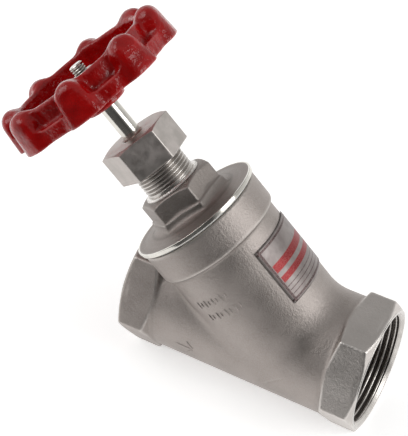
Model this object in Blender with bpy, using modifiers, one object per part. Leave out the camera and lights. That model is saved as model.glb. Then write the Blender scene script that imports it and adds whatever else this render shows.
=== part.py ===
"""Y-pattern globe valve, DN40, with female G 1 1/2 pipe threads.

The pipe run lies along X and the bonnet axis leans back over the outlet, at 45 degrees to the run.
The origin is where the two axes cross. Pieces on the bonnet axis are modelled upright, about their
own Z, and lean with the empty that they are parented to.
"""
import math

import bmesh
import bpy
from mathutils import Matrix

MM = 0.001

# Pipe run, along X.
RUN_RADIUS = 25.0 * MM
RUN_BORE_RADIUS = 19.5 * MM
INLET_END = 34.5 * MM
OUTLET_END = -70.1 * MM
PIPE_THREAD_MINOR_RADIUS = 22.42 * MM
PIPE_THREAD_DEPTH = 17.0 * MM
MOUTH_RADIUS = 23.9 * MM
END_HEX_FLATS = 51.0 * MM
END_HEX_LENGTH = 14.5 * MM

# Neck and seat, along the bonnet axis.
LEAN = math.radians(45.0)
NECK_RADIUS = 24.9 * MM
NECK_BORE_RADIUS = 21.0 * MM
COLLAR_RADIUS = 26.45 * MM
COLLAR_BASE = 54.2 * MM
COLLAR_TOP = 67.0 * MM
BONNET_THREAD_RADIUS = 22.0 * MM
BONNET_THREAD_BASE = 55.2 * MM
SEAT_HEIGHT = 10.0 * MM
SEAT_WALL = 4.0 * MM
SEAT_RECESS = 0.6 * MM
SEAT_BORE_RADIUS = 17.0 * MM
SEAT_BORE_BASE = -10.0 * MM

# Bonnet.
GASKET_THICKNESS = 0.4 * MM
FLANGE_RADIUS = 27.55 * MM
FLANGE_LAND_RADIUS = 25.55 * MM
FLANGE_BASE = 68.0 * MM
FLANGE_TOP = 69.7 * MM
BONNET_RISE_RADIUS = 20.5 * MM
BONNET_RISE_STEP = 0.6 * MM
BONNET_HEX_FLATS = 28.8 * MM
BONNET_HEX_BASE = 74.0 * MM
BONNET_HEX_TOP = 82.7 * MM
BONNET_HEX_TURN = math.radians(0.95)
SHOULDER_RADIUS = 12.2 * MM
SHOULDER_TOP = 83.6 * MM
GLAND_THREAD_RADIUS = 10.75 * MM
BONNET_TOP = 99.0 * MM
BONNET_BOSS_RADIUS = 11.0 * MM
BONNET_BASE = 47.0 * MM
STEM_THREAD_BORE = 6.3 * MM
BACKSEAT_BASE = 72.3 * MM
STEM_BORE = 4.2 * MM
STUFFING_BOX_RADIUS = 7.9 * MM
STUFFING_BOX_BASE = 84.0 * MM

# Packing and its nut.
PACKING_WASHER_THICKNESS = 1.0 * MM
PACKING_RING_COUNT = 4
PACKING_RING_HEIGHT = 2.2 * MM
FOLLOWER_FLANGE_RADIUS = 10.4 * MM
FOLLOWER_FLANGE_BASE = 99.4 * MM
FOLLOWER_TOP = 101.2 * MM
NUT_FLATS = 27.3 * MM
NUT_BASE = 93.2 * MM
NUT_TOP = 106.9 * MM
NUT_BORE_TOP = 101.6 * MM
NUT_TURN = math.radians(14.4)

# Stem.
STEM_RADIUS = 3.9 * MM
STEM_THREAD_RADIUS = 6.0 * MM
STEM_THREAD_BASE = 37.0 * MM
STEM_THREAD_TOP = 60.0 * MM
STEM_HEAD_RADIUS = 8.2 * MM
STEM_HEAD_HEIGHT = 4.0 * MM
STEM_SQUARE = 5.6 * MM
STEM_STUD_RADIUS = 2.9 * MM
STEM_TOP = 141.4 * MM

# Disc and the pieces that it carries.
DISC_RADIUS = 19.8 * MM
DISC_FLANGE_THICKNESS = 3.4 * MM
DISC_BOSS_RADIUS = 13.0 * MM
DISC_STUD_RADIUS = 5.0 * MM
DISC_STUD_LENGTH = 12.0 * MM
DISC_FLOOR_THICKNESS = 1.5 * MM
DISC_SOCKET_DEPTH = 9.5 * MM
DISC_THREAD_BASE = 4.6 * MM
SEAL_RADIUS = 18.3 * MM
SEAL_THICKNESS = 3.0 * MM
SEAL_PROUD = 1.0 * MM
SEAL_WASHER_RADIUS = 12.5 * MM
SEAL_WASHER_THICKNESS = 1.6 * MM
SEAL_NUT_FLATS = 16.0 * MM
SEAL_NUT_HEIGHT = 6.0 * MM
SWIVEL_NUT_FLATS = 21.0 * MM
SWIVEL_NUT_HEIGHT = 4.5 * MM
SWIVEL_THREAD_WALL = 1.4 * MM

# Handwheel. The rim's outlines are (radius, height) points in millimetres, height above its base:
# one through a valley, with an inner wall behind a low lip, and one through the crest of a lobe.
HUB_RADIUS = 8.6 * MM
HUB_BASE = 122.0 * MM
HUB_TOP = 131.6 * MM
RIM_BASE = 127.6 * MM
RIM_INNER_RADIUS = 28.0 * MM
VALLEY_OUTLINE = (
    (30.4, 13.2), (31.0, 12.0), (31.6, 6.4), (33.2, 5.8), (34.2, 4.8), (34.2, 2.5), (33.6, 0.0),
    (28.0, 0.0), (28.0, 7.9), (28.9, 13.2),
)
LOBE_OUTLINE = (
    (33.6, 15.4), (35.8, 14.5), (37.4, 12.4), (37.8, 10.0), (37.4, 6.2), (38.2, 2.6), (37.6, 0.0),
    (28.0, 0.0), (28.0, 7.9), (29.4, 13.8),
)
LOBE_COUNT = 8
LOBE_COLUMNS = 8
SPOKE_COUNT = 4
SPOKE_WIDTH = 11.0 * MM
SPOKE_BASE = 127.9 * MM
SPOKE_TOP = 131.4 * MM
SPOKE_ROOT = 2.0 * MM
WHEEL_TURN = math.radians(-9.0)
WHEEL_NUT_FLATS = 10.0 * MM
WHEEL_NUT_HEIGHT = 4.4 * MM
WHEEL_WASHER_RADIUS = 6.2 * MM
WHEEL_WASHER_THICKNESS = 0.8 * MM

# Name plate, wrapped round the neck.
PLATE_BASE = 21.7 * MM
PLATE_LENGTH = 25.3 * MM
PLATE_START = math.radians(-25.0)
PLATE_SPAN = math.radians(70.0)
PLATE_THICKNESS = 0.4 * MM
PLATE_COLUMNS = 16

# Clearances, edges and cutting tools. A tool runs past the faces that it cuts by the overcut.
GAP = 0.3 * MM
CHAMFER = 1.0 * MM
EDGE_BREAK = 0.4 * MM
OVERCUT = 1.0 * MM
MERGE_DISTANCE = 0.01 * MM
NUT_CHAMFER = math.radians(30.0)
END_CHAMFER = math.radians(25.0)
CHAMFER_LAND = 0.98
BARREL_REACH = 1.1

# Facets in a full turn.
ROUND_STEPS = 48
NECK_STEPS = 50
BORE_STEPS = 42
SEAT_STEPS = 38
SMALL_STEPS = 24
HEX_STEPS = 30


def clear_scene():
    for obj in list(bpy.data.objects):
        bpy.data.objects.remove(obj, do_unlink=True)


def new_collection(name):
    collection = bpy.data.collections.new(name)
    bpy.context.scene.collection.children.link(collection)
    return collection


def new_material(name, colour, roughness, metallic):
    material = bpy.data.materials.new(name)
    material.use_nodes = True
    shader = material.node_tree.nodes["Principled BSDF"]
    shader.inputs["Base Color"].default_value = (*colour, 1.0)
    shader.inputs["Roughness"].default_value = roughness
    shader.inputs["Metallic"].default_value = metallic
    return material


def new_object(name, mesh, collection):
    obj = bpy.data.objects.new(name, mesh)
    collection.objects.link(obj)
    return obj


def mesh_from_bmesh(name, bm):
    mesh = bpy.data.meshes.new(name)
    bm.to_mesh(mesh)
    bm.free()
    return mesh


def turned(name, profile, collection, steps=ROUND_STEPS):
    """Turn a closed ring profile of (radius, height) points, outer side first and top to bottom."""
    mesh = bpy.data.meshes.new(name)
    count = len(profile)
    points = [(radius, 0.0, height) for radius, height in profile]
    edges = [(i, (i + 1) % count) for i in range(count)]
    mesh.from_pydata(points, edges, [])
    return add_screw(new_object(name, mesh, collection), steps)


def turned_solid(name, profile, collection, steps=ROUND_STEPS):
    """Turn an open profile that starts and ends on the axis."""
    mesh = bpy.data.meshes.new(name)
    points = [(radius, 0.0, height) for radius, height in profile]
    mesh.from_pydata(points, [(i, i + 1) for i in range(len(points) - 1)], [])
    return add_screw(new_object(name, mesh, collection), steps)


def add_screw(obj, steps):
    screw = obj.modifiers.new("Turn", "SCREW")
    screw.steps = steps
    screw.render_steps = steps
    screw.use_merge_vertices = True
    screw.merge_threshold = MERGE_DISTANCE
    screw.use_smooth_shade = True
    return obj


def hex_prism(name, flats, base, top, turn, collection):
    bm = bmesh.new()
    radius = flats / math.sqrt(3.0)
    bmesh.ops.create_cone(bm, cap_ends=True, segments=6, radius1=radius, radius2=radius, depth=top - base)
    bmesh.ops.rotate(bm, verts=bm.verts, matrix=Matrix.Rotation(turn, 3, "Z"))
    bmesh.ops.translate(bm, verts=bm.verts, vec=(0.0, 0.0, (top + base) / 2.0))
    return new_object(name, mesh_from_bmesh(name, bm), collection)


def chamfer_barrel(name, flats, base, top, collection, both_ends=False, slope=NUT_CHAMFER):
    """A barrel that rounds off the corners of a hex prism at its top, or at both ends."""
    corner = flats / math.sqrt(3.0)
    land = flats / 2.0 * CHAMFER_LAND
    reach = corner * BARREL_REACH
    drop = (reach - land) * math.tan(slope)
    lower = [(reach, base + drop), (land, base)] if both_ends else [(reach, base - GAP)]
    bottom = base if both_ends else base - GAP
    profile = [(0.0, top), (land, top), (reach, top - drop), *lower, (0.0, bottom)]
    return turned_solid(name, profile, collection, HEX_STEPS)


def through_bore(name, radius, base, top, collection):
    """A round tool for a hole right through a nut that spans these heights."""
    start, stop = top + OVERCUT, base - OVERCUT
    profile = [(0.0, start), (radius, start), (radius, stop), (0.0, stop)]
    return turned_solid(name, profile, collection, SMALL_STEPS)


def block(name, size, centre, collection):
    bm = bmesh.new()
    bmesh.ops.create_cube(bm, size=1.0)
    bmesh.ops.scale(bm, verts=bm.verts, vec=size)
    bmesh.ops.translate(bm, verts=bm.verts, vec=centre)
    return new_object(name, mesh_from_bmesh(name, bm), collection)


def make_cutter(obj):
    obj.hide_render = True
    obj.display_type = "WIRE"
    return obj


def combine(obj, other, operation):
    modifier = obj.modifiers.new(other.name, "BOOLEAN")
    modifier.operation = operation
    modifier.solver = "EXACT"
    modifier.object = make_cutter(other)
    return obj


def chamfered_hex(name, flats, base, top, turn, parts, tools, both_ends=False):
    prism = hex_prism(name, flats, base, top, turn, parts)
    barrel = chamfer_barrel(name + "_barrel", flats, base, top, tools, both_ends)
    return combine(prism, barrel, "INTERSECT")


def lean_back(obj):
    """Stand an unparented tool on the leaning bonnet axis."""
    obj.rotation_euler = (0.0, -LEAN, 0.0)
    return obj


def lay_along_run(obj):
    """Turn an upright tool so that its Z lies along X."""
    obj.rotation_euler = (0.0, math.pi / 2.0, 0.0)
    return obj


def run_end(name, end, inward, tools):
    """The hexagon at one end of the run, chamfered at both ends, where inward is -1 or 1 along X."""
    low, high = sorted((end, end + inward * END_HEX_LENGTH))
    prism = lay_along_run(hex_prism(name, END_HEX_FLATS, low, high, 0.0, tools))
    barrel = chamfer_barrel(name + "_barrel", END_HEX_FLATS, low, high, tools, True, END_CHAMFER)
    return combine(prism, lay_along_run(barrel), "INTERSECT")


def facing_down(profile):
    """Order an axis-to-axis profile from its highest end to its lowest."""
    return profile if profile[0][1] > profile[-1][1] else profile[::-1]


def pipe_socket(name, end, inward, tools):
    """The space cut for one pipe thread, with a bevelled mouth and a tapered bottom."""
    outside = end - inward * OVERCUT
    floor = end + inward * (PIPE_THREAD_DEPTH + PIPE_THREAD_MINOR_RADIUS - RUN_BORE_RADIUS)
    profile = [
        (0.0, outside),
        (MOUTH_RADIUS + OVERCUT, outside),
        (PIPE_THREAD_MINOR_RADIUS, end + inward * (MOUTH_RADIUS - PIPE_THREAD_MINOR_RADIUS)),
        (PIPE_THREAD_MINOR_RADIUS, end + inward * PIPE_THREAD_DEPTH),
        (RUN_BORE_RADIUS - OVERCUT, floor),
        (0.0, floor),
    ]
    return lay_along_run(turned_solid(name, facing_down(profile), tools))


def oblique_bore(name, end, seat_side_height, tools):
    """A length of run bore, square at the end given and slanted parallel to the seat at the other."""
    bm = bmesh.new()
    bmesh.ops.create_cone(
        bm, cap_ends=True, segments=BORE_STEPS, radius1=RUN_BORE_RADIUS, radius2=RUN_BORE_RADIUS, depth=1.0
    )
    bmesh.ops.rotate(bm, verts=bm.verts, matrix=Matrix.Rotation(math.pi / 2.0, 3, "Y"))
    for vertex in bm.verts:
        square = (vertex.co.x > 0.0) == (end > 0.0)
        slanted_x = vertex.co.z - seat_side_height / math.sin(LEAN)
        vertex.co.x = end if square else slanted_x
    return new_object(name, mesh_from_bmesh(name, bm), tools)


def neck_casting(tools):
    profile = [
        (0.0, COLLAR_TOP),
        (COLLAR_RADIUS - EDGE_BREAK, COLLAR_TOP),
        (COLLAR_RADIUS, COLLAR_TOP - EDGE_BREAK),
        (COLLAR_RADIUS, COLLAR_BASE + CHAMFER),
        (NECK_RADIUS, COLLAR_BASE - CHAMFER),
        (NECK_RADIUS, 0.0),
        (0.0, 0.0),
    ]
    return lean_back(turned_solid("neck_casting", profile, tools, NECK_STEPS))


def neck_bore(tools):
    profile = [
        (0.0, COLLAR_TOP + OVERCUT),
        (BONNET_THREAD_RADIUS + GAP, COLLAR_TOP + OVERCUT),
        (BONNET_THREAD_RADIUS + GAP, BONNET_THREAD_BASE - GAP),
        (NECK_BORE_RADIUS, BONNET_THREAD_BASE - GAP - BONNET_THREAD_RADIUS + NECK_BORE_RADIUS),
        (NECK_BORE_RADIUS, SEAT_HEIGHT),
        (0.0, SEAT_HEIGHT),
    ]
    return lean_back(turned_solid("neck_bore", profile, tools))


def seat_bore(tools):
    top = SEAT_HEIGHT + OVERCUT
    profile = [(0.0, top), (SEAT_BORE_RADIUS, top), (SEAT_BORE_RADIUS, SEAT_BORE_BASE), (0.0, SEAT_BORE_BASE)]
    return lean_back(turned_solid("seat_bore", profile, tools, SEAT_STEPS))


def valve_body(parts, tools):
    start = OUTLET_END + END_HEX_LENGTH / 2.0
    stop = INLET_END - END_HEX_LENGTH / 2.0
    profile = [(0.0, stop), (RUN_RADIUS, stop), (RUN_RADIUS, start), (0.0, start)]
    body = lay_along_run(turned_solid("valve_body", profile, parts))
    for piece in (
        neck_casting(tools),
        run_end("inlet_hex", INLET_END, -1.0, tools),
        run_end("outlet_hex", OUTLET_END, 1.0, tools),
    ):
        combine(body, piece, "UNION")
    for space in (
        neck_bore(tools),
        oblique_bore("outlet_bore", OUTLET_END - OVERCUT, SEAT_HEIGHT + SEAT_RECESS, tools),
        oblique_bore("inlet_bore", INLET_END + OVERCUT, SEAT_HEIGHT - SEAT_WALL, tools),
        seat_bore(tools),
        pipe_socket("inlet_socket", INLET_END, -1.0, tools),
        pipe_socket("outlet_socket", OUTLET_END, 1.0, tools),
    ):
        combine(body, space, "DIFFERENCE")
    return body


def bonnet(parts, tools):
    profile = [
        (0.0, BONNET_TOP),
        (GLAND_THREAD_RADIUS - CHAMFER, BONNET_TOP),
        (GLAND_THREAD_RADIUS, BONNET_TOP - CHAMFER),
        (GLAND_THREAD_RADIUS, SHOULDER_TOP),
        (SHOULDER_RADIUS, SHOULDER_TOP),
        (SHOULDER_RADIUS, BONNET_HEX_BASE + CHAMFER),
        (BONNET_HEX_FLATS / 2.0 - GAP, BONNET_HEX_BASE + CHAMFER),
        (BONNET_RISE_RADIUS, FLANGE_TOP + BONNET_RISE_STEP),
        (FLANGE_LAND_RADIUS, FLANGE_TOP),
        (FLANGE_RADIUS - EDGE_BREAK, FLANGE_TOP),
        (FLANGE_RADIUS, FLANGE_TOP - EDGE_BREAK),
        (FLANGE_RADIUS, FLANGE_BASE),
        (BONNET_THREAD_RADIUS, FLANGE_BASE),
        (BONNET_THREAD_RADIUS, BONNET_THREAD_BASE + CHAMFER),
        (BONNET_THREAD_RADIUS - CHAMFER, BONNET_THREAD_BASE),
        (BONNET_BOSS_RADIUS, BONNET_THREAD_BASE),
        (BONNET_BOSS_RADIUS, BONNET_BASE),
        (0.0, BONNET_BASE),
    ]
    piece = turned_solid("bonnet", profile, parts)
    base = BONNET_HEX_BASE - CHAMFER
    hexagon = chamfered_hex(
        "bonnet_hex", BONNET_HEX_FLATS, base, BONNET_HEX_TOP, BONNET_HEX_TURN, tools, tools
    )
    combine(piece, hexagon, "UNION")
    bore_profile = [
        (0.0, BONNET_TOP + OVERCUT),
        (STUFFING_BOX_RADIUS, BONNET_TOP + OVERCUT),
        (STUFFING_BOX_RADIUS, STUFFING_BOX_BASE),
        (STEM_BORE, STUFFING_BOX_BASE),
        (STEM_BORE, BACKSEAT_BASE + STEM_THREAD_BORE - STEM_BORE),
        (STEM_THREAD_BORE, BACKSEAT_BASE),
        (STEM_THREAD_BORE, BONNET_BASE - OVERCUT),
        (0.0, BONNET_BASE - OVERCUT),
    ]
    combine(piece, turned_solid("bonnet_bore", bore_profile, tools, SMALL_STEPS), "DIFFERENCE")
    return piece


def flat_ring(name, outer, inner, base, top, parts, steps=SMALL_STEPS):
    return turned(name, [(outer, top), (outer, base), (inner, base), (inner, top)], parts, steps)


def bonnet_gasket(parts):
    base = COLLAR_TOP + (FLANGE_BASE - COLLAR_TOP - GASKET_THICKNESS) / 2.0
    inner = BONNET_THREAD_RADIUS + GAP
    outer = COLLAR_RADIUS - EDGE_BREAK
    return flat_ring("bonnet_gasket", outer, inner, base, base + GASKET_THICKNESS, parts, ROUND_STEPS)


def packing_stack(parts):
    """The base washer, the packing rings and the follower, in order up the stuffing box."""
    inner = STEM_BORE
    outer = STUFFING_BOX_RADIUS - GAP
    height = STUFFING_BOX_BASE + GAP
    pieces = [flat_ring("packing_washer", outer, inner, height, height + PACKING_WASHER_THICKNESS, parts)]
    height += PACKING_WASHER_THICKNESS + GAP
    for number in range(1, PACKING_RING_COUNT + 1):
        top = height + PACKING_RING_HEIGHT
        pieces.append(flat_ring(f"packing_ring_{number}", outer, inner, height, top, parts))
        height = top + GAP
    follower_profile = [
        (FOLLOWER_FLANGE_RADIUS, FOLLOWER_TOP),
        (FOLLOWER_FLANGE_RADIUS, FOLLOWER_FLANGE_BASE),
        (outer, FOLLOWER_FLANGE_BASE),
        (outer, height),
        (inner, height),
        (inner, FOLLOWER_TOP),
    ]
    pieces.append(turned("gland_follower", follower_profile, parts, SMALL_STEPS))
    return pieces


def packing_nut(parts, tools):
    nut = chamfered_hex("packing_nut", NUT_FLATS, NUT_BASE, NUT_TOP, NUT_TURN, parts, tools)
    bore = GLAND_THREAD_RADIUS + GAP
    bore_profile = [
        (0.0, NUT_TOP + OVERCUT),
        (STEM_BORE + GAP, NUT_TOP + OVERCUT),
        (STEM_BORE + GAP, NUT_BORE_TOP),
        (bore, NUT_BORE_TOP),
        (bore, NUT_BASE + CHAMFER),
        (bore + CHAMFER, NUT_BASE),
        (bore + CHAMFER, NUT_BASE - OVERCUT),
        (0.0, NUT_BASE - OVERCUT),
    ]
    return combine(nut, turned_solid("nut_bore", bore_profile, tools, SMALL_STEPS), "DIFFERENCE")


def stem(parts, tools):
    head_base = disc_socket_floor() + GAP
    head_top = head_base + STEM_HEAD_HEIGHT
    profile = [
        (0.0, STEM_TOP),
        (STEM_STUD_RADIUS - EDGE_BREAK, STEM_TOP),
        (STEM_STUD_RADIUS, STEM_TOP - EDGE_BREAK),
        (STEM_STUD_RADIUS, HUB_BASE),
        (STEM_RADIUS, HUB_BASE - GAP),
        (STEM_RADIUS, STEM_THREAD_TOP + STEM_THREAD_RADIUS - STEM_RADIUS),
        (STEM_THREAD_RADIUS, STEM_THREAD_TOP),
        (STEM_THREAD_RADIUS, STEM_THREAD_BASE),
        (STEM_THREAD_RADIUS - CHAMFER, STEM_THREAD_BASE - CHAMFER),
        (STEM_THREAD_RADIUS - CHAMFER, head_top),
        (STEM_HEAD_RADIUS, head_top),
        (STEM_HEAD_RADIUS, head_base + CHAMFER),
        (STEM_HEAD_RADIUS - CHAMFER, head_base),
        (0.0, head_base),
    ]
    piece = turned_solid("stem", profile, parts, SMALL_STEPS)
    square_base = HUB_BASE - CHAMFER
    square_top = HUB_TOP - GAP
    centre = (0.0, 0.0, (square_base + square_top) / 2.0)
    square = block("stem_square", (STEM_SQUARE, STEM_SQUARE, square_top - square_base), centre, tools)
    square.rotation_euler = (0.0, 0.0, WHEEL_TURN)
    return combine(piece, square, "UNION")


def disc_flange_base():
    return SEAT_HEIGHT + GAP + SEAL_THICKNESS + GAP


def disc_socket_floor():
    return disc_flange_base() + DISC_FLANGE_THICKNESS + DISC_FLOOR_THICKNESS


def disc_boss_top():
    return disc_socket_floor() + DISC_SOCKET_DEPTH


def disc(parts):
    base = disc_flange_base()
    floor = disc_socket_floor()
    top = disc_boss_top()
    stud_base = SEAT_HEIGHT + SEAL_PROUD - DISC_STUD_LENGTH
    socket = STEM_HEAD_RADIUS + GAP
    thread = socket + SWIVEL_THREAD_WALL
    profile = [
        (DISC_BOSS_RADIUS, top),
        (DISC_BOSS_RADIUS, base + DISC_FLANGE_THICKNESS + CHAMFER),
        (DISC_BOSS_RADIUS + CHAMFER, base + DISC_FLANGE_THICKNESS),
        (DISC_RADIUS, base + DISC_FLANGE_THICKNESS),
        (DISC_RADIUS, SEAT_HEIGHT + GAP + SEAL_PROUD),
        (SEAL_RADIUS + GAP, SEAT_HEIGHT + GAP + SEAL_PROUD),
        (SEAL_RADIUS + GAP, base),
        (DISC_STUD_RADIUS, base),
        (DISC_STUD_RADIUS, stud_base),
        (0.0, stud_base),
        (0.0, floor),
        (socket, floor),
        (socket, floor + DISC_THREAD_BASE),
        (thread, floor + DISC_THREAD_BASE),
        (thread, top),
    ]
    return turned_cup("disc", profile, parts)


def turned_cup(name, profile, collection):
    """Turn a closed profile in which two neighbouring points lie on the axis."""
    mesh = bpy.data.meshes.new(name)
    count = len(profile)
    points = [(radius, 0.0, height) for radius, height in profile]
    on_axis = [radius == 0.0 for radius, _ in profile]
    edges = [
        (i, (i + 1) % count) for i in range(count) if not (on_axis[i] and on_axis[(i + 1) % count])
    ]
    mesh.from_pydata(points, edges, [])
    return add_screw(new_object(name, mesh, collection), ROUND_STEPS)


def disc_seal(parts):
    base = SEAT_HEIGHT + GAP
    return flat_ring(
        "disc_seal", SEAL_RADIUS, DISC_STUD_RADIUS + GAP, base, base + SEAL_THICKNESS, parts, ROUND_STEPS
    )


def seal_washer(parts):
    top = SEAT_HEIGHT
    base = top - SEAL_WASHER_THICKNESS
    return flat_ring("seal_washer", SEAL_WASHER_RADIUS, DISC_STUD_RADIUS + GAP, base, top, parts)


def seal_nut(parts, tools):
    top = SEAT_HEIGHT - SEAL_WASHER_THICKNESS - GAP
    base = top - SEAL_NUT_HEIGHT
    nut = chamfered_hex("seal_nut", SEAL_NUT_FLATS, base, top, 0.0, parts, tools, both_ends=True)
    hole = DISC_STUD_RADIUS + GAP
    return combine(nut, through_bore("seal_nut_bore", hole, base, top, tools), "DIFFERENCE")


def swivel_nut(parts, tools):
    """The hollow nut that holds the stem's head in the disc and leaves it free to turn."""
    base = disc_socket_floor() + DISC_THREAD_BASE + GAP
    shoulder = disc_boss_top() + GAP
    top = shoulder + SWIVEL_NUT_HEIGHT
    thread = STEM_HEAD_RADIUS + SWIVEL_THREAD_WALL
    nut = chamfered_hex("swivel_nut", SWIVEL_NUT_FLATS, shoulder, top, 0.0, parts, tools)
    inside = top - CHAMFER
    profile = [(0.0, inside), (thread, inside), (thread, base), (0.0, base)]
    combine(nut, turned_solid("swivel_nut_thread", profile, tools, SMALL_STEPS), "UNION")
    hole = STEM_THREAD_RADIUS + GAP
    return combine(nut, through_bore("swivel_nut_bore", hole, base, top, tools), "DIFFERENCE")


def lobe_share(angle):
    """How far a direction lies inside a lobe: 1 on its crest, 0 in the valleys."""
    wave = 0.5 + 0.5 * math.cos(LOBE_COUNT * angle)
    return wave * wave * (3.0 - 2.0 * wave)


def rim_section(angle):
    """The rim's closed outline of (radius, height) points in one direction."""
    share = lobe_share(angle)
    return [
        ((low[0] + (high[0] - low[0]) * share) * MM, (low[1] + (high[1] - low[1]) * share) * MM)
        for low, high in zip(VALLEY_OUTLINE, LOBE_OUTLINE)
    ]


def handwheel_rim(collection):
    """A loft round the wheel through the rim's outline, which swells at each lobe."""
    columns = LOBE_COUNT * LOBE_COLUMNS
    sections = [rim_section(math.tau * i / columns) for i in range(columns)]
    rows = len(sections[0])
    bm = bmesh.new()
    grid = []
    for i, section in enumerate(sections):
        angle = math.tau * i / columns
        ring = [
            bm.verts.new((radius * math.cos(angle), radius * math.sin(angle), RIM_BASE + height))
            for radius, height in section
        ]
        grid.append(ring)
    for i in range(columns):
        here, there = grid[i], grid[(i + 1) % columns]
        for j in range(rows):
            k = (j + 1) % rows
            bm.faces.new((here[j], here[k], there[k], there[j]))
    return new_object("handwheel", mesh_from_bmesh("handwheel", bm), collection)


def handwheel(parts, tools):
    wheel = handwheel_rim(parts)
    length = RIM_INNER_RADIUS + SPOKE_ROOT
    size = (length, SPOKE_WIDTH, SPOKE_TOP - SPOKE_BASE)
    centre = (length / 2.0, 0.0, (SPOKE_TOP + SPOKE_BASE) / 2.0)
    hub_profile = [(0.0, HUB_TOP), (HUB_RADIUS, HUB_TOP), (HUB_RADIUS, HUB_BASE), (0.0, HUB_BASE)]
    hub = turned_solid("hub", hub_profile, tools, SMALL_STEPS)
    for number in range(SPOKE_COUNT):
        spoke = block(f"spoke_{number + 1}", size, centre, tools)
        spoke.rotation_euler = (0.0, 0.0, math.tau * number / SPOKE_COUNT)
        combine(hub, spoke, "UNION")
    combine(wheel, hub, "UNION")
    hole = STEM_SQUARE + 2.0 * GAP
    depth = HUB_TOP - HUB_BASE + 2.0 * OVERCUT
    square = block("hub_square", (hole, hole, depth), (0.0, 0.0, (HUB_TOP + HUB_BASE) / 2.0), tools)
    combine(wheel, square, "DIFFERENCE")
    wheel.rotation_euler = (0.0, 0.0, WHEEL_TURN)
    return wheel


def follow_wheel(tools):
    """Turn the wheel's own tools with it, because a Boolean reads them in world space."""
    for obj in tools.objects:
        if obj.name.startswith(("hub", "spoke")):
            obj.rotation_euler.z += WHEEL_TURN


def wheel_washer(parts):
    base = HUB_TOP + GAP
    inner = STEM_STUD_RADIUS + GAP
    return flat_ring("wheel_washer", WHEEL_WASHER_RADIUS, inner, base, base + WHEEL_WASHER_THICKNESS, parts)


def wheel_nut(parts, tools):
    base = HUB_TOP + GAP + WHEEL_WASHER_THICKNESS + GAP
    top = base + WHEEL_NUT_HEIGHT
    nut = chamfered_hex("wheel_nut", WHEEL_NUT_FLATS, base, top, WHEEL_TURN, parts, tools, both_ends=True)
    hole = STEM_STUD_RADIUS + GAP
    return combine(nut, through_bore("wheel_nut_bore", hole, base, top, tools), "DIFFERENCE")


def name_plate(parts):
    """An open curved patch round the neck, given its thickness by Solidify."""
    radius = NECK_RADIUS + GAP
    bm = bmesh.new()
    rows = []
    for height in (PLATE_BASE, PLATE_BASE + PLATE_LENGTH):
        angles = [PLATE_START + PLATE_SPAN * i / PLATE_COLUMNS for i in range(PLATE_COLUMNS + 1)]
        rows.append([bm.verts.new((radius * math.cos(a), radius * math.sin(a), height)) for a in angles])
    for i in range(PLATE_COLUMNS):
        bm.faces.new((rows[0][i], rows[0][i + 1], rows[1][i + 1], rows[1][i]))
    plate = new_object("name_plate", mesh_from_bmesh("name_plate", bm), parts)
    shell = plate.modifiers.new("Thickness", "SOLIDIFY")
    shell.thickness = PLATE_THICKNESS
    shell.offset = 1.0
    return plate


def new_empty(name, parent, collection):
    empty = bpy.data.objects.new(name, None)
    collection.objects.link(empty)
    empty.parent = parent
    return empty


def attach(pieces, parent):
    for piece in pieces:
        piece.parent = parent


def finish(pieces, material):
    """Give each piece its material, in a slot of its own mesh."""
    for piece in pieces:
        piece.data.materials.append(material)


def upright_tools_follow(tools, leaning_parts, axis):
    """Parent the tools of leaning pieces to the bonnet axis as well, so that they cut in place."""
    users = {m.object.name for piece in leaning_parts for m in piece.modifiers if m.type == "BOOLEAN"}
    waiting = list(users)
    while waiting:
        tool = tools.objects[waiting.pop()]
        tool.parent = axis
        waiting += [m.object.name for m in tool.modifiers if m.type == "BOOLEAN"]


def main():
    clear_scene()
    parts = new_collection("globe_valve")
    tools = new_collection("cutters")
    axis = new_empty("bonnet_axis", None, parts)
    axis.rotation_euler = (0.0, -LEAN, 0.0)
    disc_slide = new_empty("disc_slide", axis, parts)
    stem_turn = new_empty("stem_turn", disc_slide, parts)

    body = valve_body(parts, tools)
    fixed_steel = [bonnet(parts, tools), packing_nut(parts, tools)]
    packing = packing_stack(parts)
    gasket = bonnet_gasket(parts)
    plate = name_plate(parts)
    disc_steel = [disc(parts), seal_washer(parts), seal_nut(parts, tools), swivel_nut(parts, tools)]
    seal = disc_seal(parts)
    stem_steel = [stem(parts, tools), wheel_washer(parts), wheel_nut(parts, tools)]
    wheel = handwheel(parts, tools)
    follow_wheel(tools)

    attach([*fixed_steel, *packing, gasket, plate], axis)
    attach([*disc_steel, seal], disc_slide)
    attach([*stem_steel, wheel], stem_turn)
    leaning = [*fixed_steel, *disc_steel, *stem_steel, wheel]
    upright_tools_follow(tools, leaning, axis)

    cast_steel = new_material("cast_steel", (0.46, 0.44, 0.42), 0.45, 1.0)
    bright_steel = new_material("bright_steel", (0.62, 0.60, 0.57), 0.2, 1.0)
    white_plastic = new_material("white_plastic", (0.86, 0.85, 0.82), 0.5, 0.0)
    red_paint = new_material("red_paint", (0.45, 0.02, 0.02), 0.25, 0.0)
    foil = new_material("foil", (0.6, 0.56, 0.54), 0.3, 1.0)
    finish([body, *fixed_steel], cast_steel)
    finish([*disc_steel, *stem_steel, packing[0], packing[-1]], bright_steel)
    finish([gasket, seal, *packing[1:-1]], white_plastic)
    finish([wheel], red_paint)
    finish([plate], foil)


main()
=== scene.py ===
import math

import bpy
import numpy as np
from mathutils import Matrix, Vector


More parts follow.
